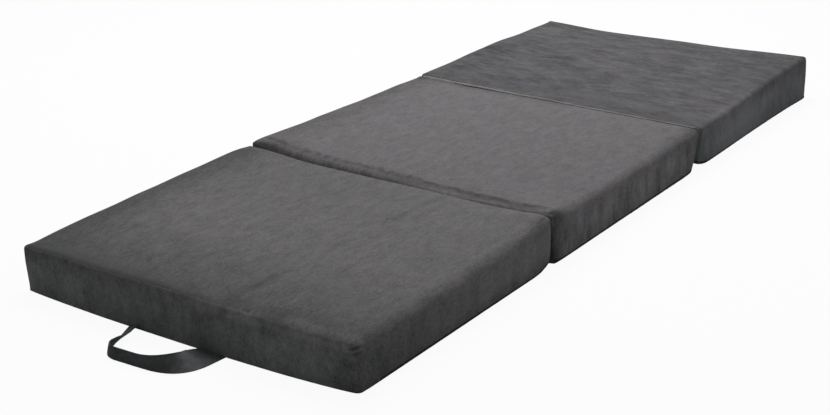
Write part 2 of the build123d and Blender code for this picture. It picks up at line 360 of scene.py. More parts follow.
def cushion_form(name, flat):
    """Sewn form of a section before its fabric swells: the rounded box, its end faces leaning back from their fold
    seams and swelling at half height, its top crowned like two crossed arches, and its own small leans."""
    start, near, far, right_radius = SECTIONS[name]
    low, high = np.array([LEFT, 0, 0]), np.array([RIGHT, SECTION, EDGE])
    points = rounded(flat, edge_radii(flat, near, far, right_radius), low, high)
    x, y, z = points.T.copy()
    share, across = z / EDGE, 2 * x / WIDTH
    belly = 4 * share * (1 - share)
    for end, way, distance in ((near, 1, y), (far, -1, SECTION - y)):
        bottom_back = np.interp(across, (-1, 1), end["bottom_back"])
        back = end["top_back"] * share + bottom_back * (1 - share) - end["bulge"] * belly
        points[:, 1] += way * (1 - smooth(0, END_REACH, distance)) * back
    points[:, 0] += SIDE_BULGE * belly * smooth(0.8, 1.0, across)
    points[:, 2] += CROWN * crown_arch(x, y) * smooth(0.5, 1.0, share)
    points += leans(name, x, y, share)
    points[:, 1] += start
    return points


def leans(name, x, y, share):
    """How a section sits out of true, as moves of its points: humps that lift or drop its top, the skew of the front
    fold, and an end or a side drawn in or out at its corners. share is the height as a part of the edge's."""
    up = smooth(0.6, 1.0, share)
    across = 2 * x / WIDTH
    move = np.zeros((len(x), 3))
    move[:, 2] += up * (LEFT_LIFT * smooth(0.5, 1.0, -across) + humps(x, y, LIFTS[name]))
    if name == "rear":
        tip = 5.0 * across + 6.0 * smooth(0.3, 1.0, across) + 2.5 * smooth(-0.5, 0.2, across)
        move[:, 2] += up * smooth(120, SECTION, y) * tip
        move[:, 2] += 11.0 * (1 - share) * (1 - smooth(0, 75, y)) ** 2
        move[:, 0] -= 4.0 * smooth(0.6, 1.0, across) * hump(x, y, RIGHT, SECTION * 0.6, 400, 230)
        move[:, 0] += 4.0 * smooth(0.8, 1.0, across) * (1 - share) * hump(x, y, RIGHT, SECTION, 200, 90)
        return move
    from_fold = SECTION - y if name == "front" else y
    move[:, 1] -= FOLD_SKEW * smooth(0, 1, across) * smooth(SKEW_REACH, 0, from_fold) * (0.5 + 0.5 * share)
    if name == "front":
        near = 1 - smooth(0, 160, y)
        drawn_in = np.where(x < 0, 8.0, 13.0) * np.abs(across) ** 3
        move[:, 1] += near * (drawn_in * (1 - share) + 4.0 * np.abs(across) ** 4 * share)
        move[:, 1] -= near * (2.5 + 4.0 * (1 - across**2)) * (1 - share)
        move[:, 0] -= 5.0 * share * hump(x, y, LEFT, 0, 60, 90)
        move[:, 2] += 8.0 * (1 - share) * hump(x, y, RIGHT, SECTION, 60, 30)
    return move


def swollen(obj, held):
    """Swells a closed cover with a short cloth simulation: air pressure inside, no gravity, the held points fixed, and
    no point allowed further than SWELL_REACH from where it was sewn."""
    mesh = obj.data
    sewn = np.empty(len(mesh.vertices) * 3)
    mesh.vertices.foreach_get("co", sewn)
    group = obj.vertex_groups.new(name="held")
    group.add(np.flatnonzero(held).tolist(), 1.0, "REPLACE")
    cloth = obj.modifiers.new("swell", "CLOTH")
    for key, value in SWELL.items():
        setattr(cloth.settings, key, value)
    cloth.settings.vertex_group_mass = group.name
    cloth.settings.effector_weights.gravity = 0
    cloth.point_cache.frame_start = 1
    cloth.point_cache.frame_end = SWELL_FRAMES
    for step in range(1, SWELL_FRAMES + 1):
        bpy.context.scene.frame_set(step)
    result = np.empty_like(sewn)
    evaluated = obj.evaluated_get(bpy.context.evaluated_depsgraph_get())
    evaluated.data.vertices.foreach_get("co", result)
    obj.modifiers.remove(cloth)
    bpy.context.scene.frame_set(1)
    move = (result - sewn).reshape(-1, 3)
    reach = np.linalg.norm(move, axis=1)
    move *= np.minimum(1, SWELL_REACH * 0.001 / np.maximum(reach, 1e-9))[:, None]
    mesh.vertices.foreach_set("co", sewn + move.ravel())
    mesh.update()


def finer(obj):
    """One smooth subdivision of a mesh: its points in millimetres, quads, panel numbers, flat places and normals."""
    modifier = obj.modifiers.new("finer", "SUBSURF")
    modifier.levels = modifier.render_levels = 1
    evaluated = obj.evaluated_get(bpy.context.evaluated_depsgraph_get())
    mesh = evaluated.to_mesh()
    points, normals, flat = (np.empty(len(mesh.vertices) * 3) for _ in range(3))
    quads, panels = np.empty(len(mesh.loops), int), np.empty(len(mesh.polygons), int)
    mesh.vertices.foreach_get("co", points)
    mesh.vertex_normals.foreach_get("vector", normals)
    mesh.attributes["flat"].data.foreach_get("vector", flat)
    mesh.loops.foreach_get("vertex_index", quads)
    mesh.polygons.foreach_get("material_index", panels)
    evaluated.to_mesh_clear()
    points, normals, flat = (values.reshape(-1, 3) for values in (points * 1000, normals, flat))
    return points, quads.reshape(-1, 4), panels, flat, normals


def sewn_cover(name):
    """Whole cover of a section as one closed mesh, swelled and subdivided, with a panel number on each quad."""
    xs = runs(LEFT, (LEFT + SIDE_BAND, 10), (RIGHT - SIDE_BAND, 56), (RIGHT, 10))
    slot_start, slot_end = SECTION / 2 - SLOT_HALF, SECTION / 2 + SLOT_HALF
    ys = runs(0.0, (END_BAND, 9), (slot_start, 2), (slot_end, 48), (SECTION - END_BAND, 2), (SECTION, 9))
    slot_low, slot_high = ZIP_HEIGHT - ZIP_SLOT / 2, ZIP_HEIGHT + ZIP_SLOT / 2
    zs = runs(0.0, (BOTTOM_SEAM, 4), (slot_low, 6), (slot_high, 2), (EDGE - TOP_BAND, 4), (EDGE, 6))
    flat, sides = box_grid(xs, ys, zs)
    quads = np.concatenate(list(sides.values()))
    panel = np.concatenate([np.full(len(q), PANELS.index(SIDE_PANELS[side])) for side, q in sides.items()])
    centre = flat[quads].mean(axis=1)
    # strip of the near-black bottom panel up the sides, which also paints the shade along the lower edges
    strip = BOTTOM_SEAM * (smooth(5, 70, centre[:, 1]) if name == "front" else 1)
    panel[(centre[:, 2] < strip) & (panel == PANELS.index("wrap"))] = PANELS.index("bottom")
    points = cushion_form(name, flat)
    from_corner = (RIGHT - np.abs(flat[:, 0])) ** 2 + np.minimum(flat[:, 1], SECTION - flat[:, 1]) ** 2
    softness = np.where(flat[:, 0] < 0, 0.15, 0.5) * np.exp(-from_corner / 24.0**2)
    points = relaxed(points, quads, softness, 8)

    mesh = bpy.data.meshes.new(name + "_pattern")
    mesh.from_pydata((points * 0.001).tolist(), [], quads.tolist())
    for _ in PANELS:
        mesh.materials.append(None)
    mesh.polygons.foreach_set("material_index", panel)
    mesh.attributes.new("flat", "FLOAT_VECTOR", "POINT").data.foreach_set("vector", flat.ravel())
    mesh.update()
    obj = bpy.data.objects.new(mesh.name, mesh)
    bpy.context.scene.collection.objects.link(obj)
    swollen(obj, flat[:, 2] < 0.5)
    result = finer(obj)
    bpy.data.objects.remove(obj)
    bpy.data.meshes.remove(mesh)
    return result


def seam_distances(flat):
    """Distance over the cloth from each point to the near end's seam, the far end's seam and the bottom seam."""
    x, y, z = flat.T
    rim = np.minimum(EDGE - z, RIGHT - np.abs(x))
    to_near = np.maximum(y, rim)
    to_far = np.maximum(SECTION - y, rim)
    under = np.where(z < 0.01, np.minimum(RIGHT - np.abs(x), np.minimum(y, SECTION - y)), 0)
    return to_near, to_far, np.abs(z - BOTTOM_SEAM) + under


def corner_creases(x, y, z):
    """Two short creases below the top of the front section's near right corner, 1 in their middles."""
    fall = EDGE - z - 0.25 * (RIGHT - x)
    return hump(x, y, RIGHT, 0, 15, 15) * (bell(fall, 9, 2.2) + 0.8 * bell(fall, 19, 2.2))


def tailored(name, points, flat, normals):
    """Cover with its sewing: each seam draws the cloth in, raises a lip beside it and puckers it, the panels between
    are gently uneven, and the cloth sinks beside the zip. The front cover has creases at its near right corner, and
    a hollow where its zip pull lies when it is swung back."""
    seed = list(SECTIONS).index(name)
    x, y, z = flat.T
    nearest = np.minimum.reduce(seam_distances(flat))
    _, near, far, _ = SECTIONS[name]
    groove = np.where(y < SECTION / 2, near["groove"], far["groove"])
    height = groove * (0.35 * bell(nearest, 6, 3.5) - bell(nearest, 0, 2.2))
    height += (0.05 + 0.4 * groove) * np.exp(-nearest / 9) * waves(x + z, y - z, 10 + seed, 11, 26, 9)
    height += 0.55 * waves(x, y + 2 * z, 20 + seed, 90, 260, 12) * smooth(0, 30, nearest)
    on_left = x < LEFT + 0.5
    from_zip = np.abs(z - ZIP_HEIGHT)
    if name == "front":
        height -= 1.8 * corner_creases(x, y, z)
        height -= 2.6 * smooth(14, 8, from_zip) * smooth(12, 22, y) * smooth(64, 56, y) * on_left
    beside_zip = smooth(2, 0, from_zip - ZIP_SLOT / 2 - 4) * (np.abs(y - SECTION / 2) < SLOT_HALF + 6)
    height -= 0.7 * beside_zip * on_left
    points = points + normals * height[:, None]
    points[:, 2] = np.maximum(points[:, 2], FLOOR_CLEARANCE)
    return points


def front_nap(panel, x, y, z, across, down):
    """Dark line and lean of the front section's nap, with painted light and shade: it turns over the handle end, is
    combed in a long stroke down the top and darkens to the left, and stands pale on the ledge below the near edge's
    right part. The top and the right side darken towards the handle end, partly from the nap and partly as painted
    shade;
    the top's left border carries painted shade; a painted highlight runs along the far edge's right part; and painted
    shade lies in the near right corner's creases."""
    on_end = panel == "near"
    edge = np.abs(y - 7) + (1.2 * (EDGE - z) if on_end else FAR_OFF * down)
    edge = edge + 14 * smooth(-0.3, 0.2, across) + 8 * smooth(0.2, 0.7, across)

    # partly painted shade: the top darkens towards the handle end, from its nap and as the light falls off there
    handle_end_nap_and_shade = (0.25 - 0.06 * across) * smooth(280, 0, y)
    # painted shade: the top's left border is darker where it slopes away from the lamp
    left_border_shade = (0.14 + 0.22 * smooth(60, 200, y)) * smooth(115, 0, x - LEFT)
    stroke = bell(x - 0.055 * y, 96, 8) * smooth(-0.6, 0.8, waves(0 * x, y, 41, 60, 200, 6))
    stroke *= 0.14 + 0.12 * smooth(260, 60, y)
    far_left = 0.08 * smooth(330, 560, y) * smooth(0.6, -0.2, across)
    near_right = 0.2 * smooth(75, 0, y) * smooth(-0.1, 0.4, across)
    near_right *= smooth(-0.9, 0.6, waves(x, y, 43, 50, 140, 8))
    top_lean = -0.03 - handle_end_nap_and_shade - left_border_shade - stroke - far_left - near_right

    if on_end:
        side_lean = -0.12 + 0.09 * smooth(0.2, 0.8, across) - 0.3 * smooth(0.8, 0.95, across)
    else:
        # partly painted shade: the right side darkens towards the handle end, from its nap and as less light reaches it
        # there
        near_part_nap_and_shade = 0.38 * smooth(-100, 60, y) * smooth(500, 0, y) + 0.1 * smooth(60, 0, y)
        far_foot = 0.17 * smooth(0.4, 0.05, z / EDGE) * smooth(250, 400, y)
        side_lean = -(near_part_nap_and_shade + far_foot) * (x > 0)

    # painted highlight: a pale rim along the far edge's right part, where the pile catches the light
    fold_edge_highlight = 0.3 * smooth(SECTION - 7, SECTION - 1, y) * smooth(-0.1, 0.5, across)
    ledge = 0.08 + 0.22 * smooth(-0.2, 0.3, across) + 0.25 * bell(across, 0.39, 0.12)
    ledge *= smooth(28, 10, EDGE - z) * smooth(16, 0, y) * smooth(1.0, 0.93, across)
    lean = between(top_lean, side_lean, down) + fold_edge_highlight + ledge
    # painted shade in the creases of the near right corner
    return edge, lean - 0.6 * corner_creases(x, y, z)


def middle_nap(panel, x, y, z, across, down):
    """Dark lines and lean of the middle section's nap, with painted light and shade: a line of painted shade at the
    foot of the nose, where it meets the front section, the nap turning at the fringed brow of the nose, a strip of
    painted light before the brow's right half, painted shade on the sides and at the top's right corner beside the near
    end, and darkening along the left, far and far right edges."""
    on_wrap, on_top = panel == "wrap", 1 - down
    bright = smooth(-0.1, 0.25, across)
    fringe = 2.2 * waves(x, 0 * x, 47, 13, 45, 8)
    brow = np.abs(y - 33 + 10 * smooth(-0.35, 0.45, across) + fringe) * (1 + 0.7 * bright)
    brow = brow + 10 * smooth(0.9, 1.0, across)
    # painted shade: a dark line at the foot of the nose, where it meets the front section's edge
    foot = 0.6 * np.maximum(y - 3, 0) + 30 * smooth(-0.3, 0.6, across)
    edge = np.minimum(brow, foot) + FAR_OFF * down * on_wrap

    # painted shade: the sides are darker, most within 28 mm of the near end, beside the slit between the sections
    lean = -0.02 * smooth(-0.6, 0.3, across) - (0.07 + 0.45 * smooth(28, 0, y)) * down
    lean += 0.3 * bell(y, 360, 22) * down * (x > 0)
    # painted light: a pale, speckled strip on the nose before the brow's right half, where the light falls on it
    painted_light_strip = 0.42 + 0.16 * waves(x, 2 * y + z, 45, 13, 34, 8)
    lean += painted_light_strip * bright * smooth(17, 8, y) * smooth(0.98, 0.94, across) * on_top
    lean -= 0.26 * smooth(105, 0, x - LEFT) * smooth(-60, 160, y) * on_top
    if on_wrap:
        # painted shade at the top's near right corner, beside the slit
        lean -= 0.5 * smooth(55, 15, y) * smooth(18, 4, RIGHT - x) * on_top
        lean -= 0.2 * smooth(40, 8, SECTION - y) * smooth(0.35, 0.0, across) * on_top
        lean -= 0.22 * smooth(380, 600, y) * smooth(45, 5, np.maximum(RIGHT - x, EDGE - z))
    return edge, lean


def rear_nap(panel, x, y, z, across, down):
    """Dark line and lean of the rear section's nap, with painted light: it turns beside the fold and is blotched on the
    top, its right side is painted lighter as the light falls on it, with smears on it and darker towards both ends,
    and a painted highlight runs along the upper right edge."""
    edge = y + FAR_OFF * down
    top_lean = -humps(x, y, REAR_MARKS) - 0.09 * smooth(380, 600, y) * smooth(0.7, 0.2, across)
    # painted light: the right side is lighter all along, as the light falls on it, with paler and darker smears
    side_lean = 0.22 + 0.18 * hump(x, y, RIGHT, 200, 500, 150) + 0.1 * smooth(230, 290, y) * smooth(480, 420, y)
    side_lean -= 0.2 * smooth(420, 600, y) + 0.3 * smooth(100, 20, y)
    side_lean -= 0.3 * bell(y, 400, 40) * smooth(0.75, 0.45, z / EDGE)
    lean = between(top_lean, side_lean, down)
    if panel == "wrap":
        # painted highlight along the upper right edge
        from_edge = np.maximum(RIGHT - x, EDGE - z)
        lean += 0.2 * smooth(36, 6, from_edge) * smooth(60, 110, y) * smooth(330, 200, y)
    return edge, lean


NAPS = {"front": front_nap, "middle": middle_nap, "rear": rear_nap}


def nap_marks(name, panel, flat):
    """What the velour needs at each point: its distance in metres from the nearest dark line, where the nap turns dark
    and, at the middle section's foot, where painted shade lies, how far down a side it lies, and how far its pile leans
    from the eye, with the painted light and shade that the nap functions add to it."""
    x, y, z = flat.T
    down = smooth(4, 40, EDGE - z) * ((np.abs(x) > RIGHT - 0.5) | (panel == "near"))
    edge, lean = NAPS[name](panel, x, y, z, 2 * x / WIDTH, down)
    return {"edge": edge * 0.001, "side": down, "lean": lean}


def covers(name, materials):
    """The four panels of a section's cover, each a sheet with the thickness of the cloth."""
    points, quads, panels, flat, normals = sewn_cover(name)
    points = tailored(name, points, flat, normals)
    x, y, z = flat[quads].mean(axis=1).T
    slot = (x < LEFT + 0.01) & (np.abs(z - ZIP_HEIGHT) < ZIP_SLOT / 2) & (np.abs(y - SECTION / 2) < SLOT_HALF)
    made = []
    for index, panel in enumerate(PANELS):
        node_name = f"{name}_{panel}_panel"
        faces = quads[(panels == index) & ~slot]
        obj, used = piece(f"{name}_{panel}_cover", points, faces, materials[panel], name, [node_name])
        for attribute, values in nap_marks(name, panel, flat[used]).items():
            mark_points(obj, attribute, values)
        thicken(obj, CLOTH, -1)
        made.append(obj)
    return made


def foam_block(name, layer, material):
    """Support block or memory layer of a section: a box with cut edges, the memory layer crowned like its cover and
    rounder at its top."""
    start, near, far, _ = SECTIONS[name]
    split = EDGE - MEMORY_LAYER
    low_z, high_z = (FOAM_INSET, split) if layer == "support" else (split, EDGE - FOAM_INSET - 3)
    inset = FOAM_INSET + 6
    near_inset, far_inset = (
        inset + 0.4 * max(end["radii"]) + max(end["bottom_back"]) + 4 for end in (near, far)
    )
    low = np.array([LEFT + inset, near_inset, low_z])
    high = np.array([RIGHT - inset - 4, SECTION - far_inset, high_z])
    lines = [runs(a, (a + 4, 2), (b - 4, count), (b, 2)) for a, b, count in zip(low, high, (40, 36, 3))]
    flat, sides = box_grid(*lines)
    points = rounded(flat, np.where(flat[:, 2] > EDGE - 10, 8.0, 2.0), low, high)
    if layer == "memory":
        arch = crown_arch(points[:, 0], points[:, 1])
        points[:, 2] += CROWN * arch * (points[:, 2] - low_z) / (high_z - low_z)
    points += leans(name, points[:, 0], points[:, 1], points[:, 2] / EDGE)
    points[:, 1] += start
    faces = np.concatenate(list(sides.values()))
    node_name = f"{name}_{layer}_foam"
    obj, _ = piece(f"{name}_{layer}_block", points, faces, material, name, [node_name])
    return obj


def strap_path(share):
    """Outer edge of the strap on the floor, its lean and its width, at shares of its way: three straight runs joined
    by two quadratic bends. It leaves its left root nearly flat, tips its inner edge up as it comes to the first bend,
    stands nearly on edge along the bottom, and lies down and spreads towards its right root."""
    corners = np.array(HANDLE_CORNERS)
    t = np.linspace(0, 1, 60)[:, None]
    track = [corners[:1]]
    for before, corner, after, bend in zip(corners, corners[1:], corners[2:], HANDLE_BENDS):
        start = corner + (before - corner) * bend / np.linalg.norm(before - corner)
        end = corner + (after - corner) * bend / np.linalg.norm(after - corner)
        track.append((1 - t) ** 2 * start + 2 * t * (1 - t) * corner + t**2 * end)
    track = np.concatenate(track + [corners[-1:]])
    length = np.concatenate([[0], np.cumsum(np.linalg.norm(np.diff(track, axis=0), axis=1))])
    x, y = (np.interp(share * length[-1], length, values) for values in track.T)
    tipping = 14 + 16 * smooth(0.0, 0.1, share) + 50 * smooth(0.1, 0.33, share)
    lying_down = 62 * smooth(0.5, 0.85, share) + 18 * smooth(0.8, 1.0, share)
    return x, y, np.radians(tipping - lying_down), between(*STRAP_WIDTHS, smooth(0.5, 1.0, share))


def handle_strap(material):
    """Folded cloth strap: a flattened oval profile carried along its path, tipped by the lean at each place, with a
    stitched dip along each edge. Its two ends are cut along the seam that they are sewn into."""
    share = np.concatenate([[0], np.linspace(0, 1, 161), [1]])
    x, y, lean, width = strap_path(share)
    step = 0.012
    ahead, behind = strap_path(np.minimum(share + step, 1)), strap_path(np.maximum(share - step, 0))
    heading = np.stack([ahead[0] - behind[0], ahead[1] - behind[1]], axis=1)
    heading /= np.linalg.norm(heading, axis=1)[:, None]
    mitre = smooth(0.06, 0.0, share) + smooth(0.94, 1.0, share)
    inward = np.stack([-heading[:, 1], heading[:, 0] * (1 - mitre), np.zeros_like(x)], axis=1)
    up = np.array([0.0, 0.0, 1.0])
    across = inward * np.cos(lean)[:, None] + up * np.sin(lean)[:, None]
    through = up * np.cos(lean)[:, None] - inward * np.sin(lean)[:, None]
    turn = np.linspace(0, 2 * np.pi, 49)
    wide = np.sign(np.cos(turn)) * np.abs(np.cos(turn)) ** 0.55
    thick = STRAP_THICKNESS / 2 * np.sign(np.sin(turn)) * np.abs(np.sin(turn)) ** 0.45
    half = width[:, None] / 2
    stitched = 1 - 0.35 * bell(half * (1 - np.abs(wide)), 4.0, 1.2)
    edge = np.stack([x, y, np.full_like(x, STRAP_LIFT)], axis=1)
    middle = edge + across * half + up * (STRAP_THICKNESS / 2 * np.cos(lean))[:, None]
    size = np.ones(len(share))
    size[[0, -1]] = 0
    oval = across[:, None] * (half * wide)[..., None] + through[:, None] * (stitched * thick)[..., None]
    points = (middle[:, None] + oval * size[:, None, None]).reshape(-1, 3)
    faces = grid_quads(np.arange(len(points)).reshape(len(share), len(turn)))
    obj, _ = piece("handle_strap_loop", points, faces, material, "handle", ["handle_strap"])
    # painted light: the strap's right part, where it lies flat, is painted paler round a band at about 85 % of its way
    from_painted_light = np.abs(0.36 * (1 - share) - 0.055)
    mark_points(obj, "edge", np.repeat(from_painted_light, len(turn)))
    return merged(obj)


def fold_strip(name, y_middle, z_edge, inwards, bead, material):
    """Cloth that joins two sections across their fold: a shallow trough between the two edges, with a rolled bead
    along it where the fold opens downwards. Its profile runs across the fold and is carried along the width, and the
    front one moves and widens with its fold towards the right."""
    reach = WIDTH / 2 - 12
    x = np.linspace(-reach, reach, 120)
    across = np.linspace(-1, 1, 25)
    skew = smooth(0, WIDTH / 2, x)[:, None] * (name == "front")
    y = y_middle - 6.5 * skew + across * (FOLD_GAP / 2 + 1.2 + 5.5 * skew)
    dome = np.cos(across * np.pi / 2)
    sag = inwards * 1.6 * dome**2
    height = 2.0 + 0.6 * waves(x, 0 * x, 33, 60, 240, 6) - 2.0 * smooth(-40, 260, x)
    roll = bead * np.sqrt(np.maximum(1 - (across / 0.55) ** 2, 0)) * height[:, None]
    pucker = 0.25 * waves(x, 0 * x, 31, 8, 30, 8)[:, None] * dome
    z = z_edge + sag * (1 - bead) + roll + pucker
    points = np.stack([np.broadcast_to(x[:, None], z.shape), y, z], axis=-1).reshape(-1, 3)
    faces = grid_quads(np.arange(len(points)).reshape(z.shape))
    obj, _ = piece(f"{name}_fold_cloth", points, faces, material, None, [f"{name}_fold_seam"])
    thicken(obj, SEAM_CLOTH, 0)
    mark_points(obj, "edge", 0.0001 * (WIDTH / 2 - points[:, 0]))
    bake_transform(obj)
    return obj


def zip_teeth(name, material):
    """Coil of a closed zip: two rows of small arched loops, each row half a pitch behind the other. A loop is a round
    wire bent in a half circle over the tape, its profile carried along that arc."""
    start = SECTIONS[name][0] + SECTION / 2
    count = int(2 * ZIP_HALF / COIL_PITCH)
    arc = np.linspace(0, np.pi, 7)[:, None]
    turn = np.linspace(0, 2 * np.pi, 7)
    half = COIL_WIDTH / 4 + 0.35
    along = np.linspace(-ZIP_HALF + COIL_PITCH / 2, ZIP_HALF - COIL_PITCH / 2, count)
    rows = []
    for side in (-1, 1):
        z_line = ZIP_HEIGHT + side * (half - 0.7) + half * np.cos(arc)
        x_line = LEFT + CLOTH - (COIL_HEIGHT - COIL_WIRE) * np.sin(arc) ** 0.8
        loop_x = x_line - COIL_WIRE * np.sin(arc) * np.cos(turn)
        loop_z = z_line + COIL_WIRE * np.cos(arc) * np.cos(turn)
        loop_y = np.broadcast_to(COIL_WIRE * np.sin(turn), loop_x.shape)
        shift = np.zeros((count, 1, 1, 3))
        shift[:, 0, 0, 1] = start + along + side * COIL_PITCH / 4
        rows.append(np.stack([loop_x, loop_y, loop_z], axis=-1) + shift)
    points = np.concatenate(rows)
    faces = grid_quads(np.arange(points[..., 0].size).reshape(points.shape[:3]))
    node_name = f"{name}_zip_coil"
    obj, _ = piece(f"{name}_zip_teeth", points.reshape(-1, 3), faces, material, name, [node_name])
    return merged(obj)


def add(tree, kind, inputs=None, **settings):
    """Adds a node, sets its properties, and sets or links each input by name or number."""
    made = tree.nodes.new(kind)
    for key, value in settings.items():
        setattr(made, key, value)
    for key, value in (inputs or {}).items():
        if isinstance(value, bpy.types.NodeSocket):
            tree.links.new(value, made.inputs[key])
        else:
            made.inputs[key].default_value = value
    return made


def maths(tree, operation, *values, clamp=False):
    """Result of a math node."""
    inputs = dict(enumerate(values))
    return add(tree, "ShaderNodeMath", inputs, operation=operation, use_clamp=clamp).outputs[0]


def remapped(tree, value, low, high, start, end, curve="LINEAR"):
    """A value mapped from low and high to start and end, and held there beyond them."""
    inputs = {"Value": value, 1: low, 2: high, 3: start, 4: end}
    return add(tree, "ShaderNodeMapRange", inputs, interpolation_type=curve).outputs[0]


def mixed(tree, factor, first, second, mode="MIX"):
    """Two colours mixed by a factor."""
    inputs = {"Factor": factor, 6: first, 7: second}
    return add(tree, "ShaderNodeMix", inputs, data_type="RGBA", blend_type=mode).outputs[2]


def bumped(tree, height, strength, distance, **under):
    """Normal of a surface with a height on it, over the normal under it if one is given."""
    inputs = {"Height": height, "Strength": strength, "Distance": distance, **under}
    return add(tree, "ShaderNodeBump", inputs).outputs[0]


def new_material(name):
    """Empty node material, its tree, and the place on the object in metres."""
    material = bpy.data.materials.new(name)
    material.use_nodes = True
    tree = material.node_tree
    tree.nodes.clear()
    return material, tree, add(tree, "ShaderNodeTexCoord").outputs["Object"]


def coated(tree, inputs):
    """Makes a principled surface with these inputs the output of its material."""
    shader = add(tree, "ShaderNodeBsdfPrincipled", inputs).outputs[0]
    add(tree, "ShaderNodeOutputMaterial", {"Surface": shader})


def stretched_noise(tree, place, sizes, detail):
    """Cloudy noise with marks of a size in millimetres along each axis."""
    scaled = add(tree, "ShaderNodeMapping", {"Vector": place, "Scale": [1000 / size for size in sizes]}).outputs[0]
    inputs = {"Vector": scaled, "Scale": 1.0, "Detail": detail, "Roughness": 0.62}
    return add(tree, "ShaderNodeTexNoise", inputs).outputs[0]


def velour(name, dark, light, nap, strengths, line, side_tint=(1.0, 1.0, 1.0)):
    """Polyester microfibre velour: a short brushed pile. Pile that leans towards the eye looks dark and pile that leans
    away looks pale, so it shows short streaks along the nap, soft hand marks, small marks, upright smears down the
    sides, and ragged dark lines where it turns over an edge. The lean that it reads and its line also carry painted
    light and shade: lighter and darker sides, edges and strips, a line of painted shade, and on the strap a pale band
    of painted light. nap is the length of a streak along x, y and z in millimetres, strengths are those of the
    streaks, the hand marks and the smears, line is how far a dark line reaches in millimetres, its strength, its
    colour, the share of it that is full and how ragged it is, and side_tint is what the light on a side does to the
    colour."""
    material, tree, place = new_material(name)
    side, from_line, lean = (
        add(tree, "ShaderNodeAttribute", attribute_name=key).outputs["Fac"] for key in ("side", "edge", "lean")
    )
    streak, mark, smear = strengths
    # each layer: sizes of its marks in millimetres, detail, strength on the top, strength on the sides
    layers = {
        "streaks": (nap, 3.0, streak, 0.5 * streak),
        "hairs": ([2 + 0.3 * n for n in nap], 2.0, 0.45, 0.5),
        "hand marks": ([14 + 1.4 * n for n in nap], 5.0, mark, 0.6 * mark),
        "smears": ((45.0, 45.0, 130.0), 4.0, 0.0, smear),
        "pile": ((2.6, 2.6, 2.6), 2.0, 0.8, 0.8),
        "small marks": ([9 + 0.2 * n for n in nap], 3.0, 0.5 * mark, 0.3 * mark),
    }
    # the lean also carries the light and shade that the nap functions paint in
    level = maths(tree, "ADD", lean, 0.5)
    noises = {}
    for layer, (sizes, detail, on_top, on_side) in layers.items():
        noises[layer] = stretched_noise(tree, place, sizes, detail)
        strength = remapped(tree, side, 0.0, 1.0, on_top, on_side)
        level = maths(tree, "MULTIPLY_ADD", maths(tree, "SUBTRACT", noises[layer], 0.5), strength, level)

    depth, line_strength, line_colour, full_share, spread = line
    ragged = maths(tree, "ADD", noises["hand marks"], noises["small marks"])
    ragged = maths(tree, "MULTIPLY_ADD", noises["streaks"], 1.5, ragged)
    reach = remapped(tree, ragged, 1.4, 2.1, 0.001 * depth * (1 - spread), 0.001 * depth * (1 + spread))
    full = maths(tree, "MULTIPLY", reach, full_share)
    inside = remapped(tree, from_line, full, reach, line_strength, 0.0, "SMOOTHSTEP")
    clumps = remapped(tree, noises["hand marks"], 0.38, 0.56, 1 - 0.85 * spread, 1.0)

    colour = mixed(tree, level, linear(dark), linear(light))
    warmth = remapped(tree, stretched_noise(tree, place, (60.0, 60.0, 60.0), 3.0), 0.38, 0.62, 0.0, 1.0)
    tint = mixed(tree, warmth, (0.988, 1.0, 1.014, 1), (1.012, 1.0, 0.986, 1))
    colour = mixed(tree, 1.0, colour, tint, "MULTIPLY")
    colour = mixed(tree, side, colour, side_tint + (1.0,), "MULTIPLY")
    colour = mixed(tree, maths(tree, "MULTIPLY", inside, clumps), colour, linear(line_colour))
    bump = bumped(tree, noises["pile"], 0.2, 0.0005)
    bump = bumped(tree, noises["hairs"], 0.15, 0.0008, Normal=bump)
    coated(tree, {
        "Base Color": colour,
        "Normal": bump,
        "Roughness": 0.95,
        "IOR": 1.45,
        "Specular IOR Level": 0.15,
        "Sheen Weight": 0.18,
        "Sheen Roughness": 0.4,
        "Sheen Tint": linear("#c9c6c4"),
    })
    return material


def woven(name, dark, light, thread, roughness):
    """Woven cloth: two sets of threads crossing over and under, each thread about a millimetre wide, with slubs that
    come and go."""
    material, tree, place = new_material(name)
    weave = add(tree, "ShaderNodeTexChecker", {"Vector": place, "Scale": 1000 / thread}).outputs["Fac"]
    slub = add(tree, "ShaderNodeTexNoise", {"Vector": place, "Scale": 300.0, "Detail": 4.0}).outputs[0]
    level = maths(tree, "MULTIPLY_ADD", weave, 0.35, slub, clamp=True)
    colour = mixed(tree, level, linear(dark), linear(light))
    bump = bumped(tree, level, 0.4, 0.0003)
    coated(tree, {"Base Color": colour, "Normal": bump, "Roughness": roughness, "Specular IOR Level": 0.15})
    return material


def open_cell_foam(name, dark, light, cell):
    """Cut polyurethane foam: pits where the knife opened its cells, a little darker inside, cell in millimetres."""
    material, tree, place = new_material(name)
    cells = add(tree, "ShaderNodeTexVoronoi", {"Vector": place, "Scale": 1000 / cell}).outputs["Distance"]
    cloudy = add(tree, "ShaderNodeTexNoise", {"Vector": place, "Scale": 25.0, "Detail": 3.0}).outputs[0]
    level = maths(tree, "MULTIPLY_ADD", cells, 0.6, cloudy, clamp=True)
    colour = mixed(tree, level, linear(dark), linear(light))
    coated(tree, {"Base Color": colour, "Normal": bumped(tree, cells, 0.6, 0.0008), "Roughness": 0.95})
    return material


def lacquered_zinc(name, dark, light):
    """Die-cast zinc under a dark satin lacquer, rubbed a little paler in places."""
    material, tree, place = new_material(name)
    inputs = {"Vector": place, "Scale": 350.0, "Detail": 5.0, "Roughness": 0.6}
    rub = add(tree, "ShaderNodeTexNoise", inputs).outputs[0]
    colour = mixed(tree, rub, linear(dark), linear(light))
    coated(tree, {"Base Color": colour, "Roughness": remapped(tree, rub, 0.0, 1.0, 0.3, 0.5), "Metallic": 0.6})
    return material


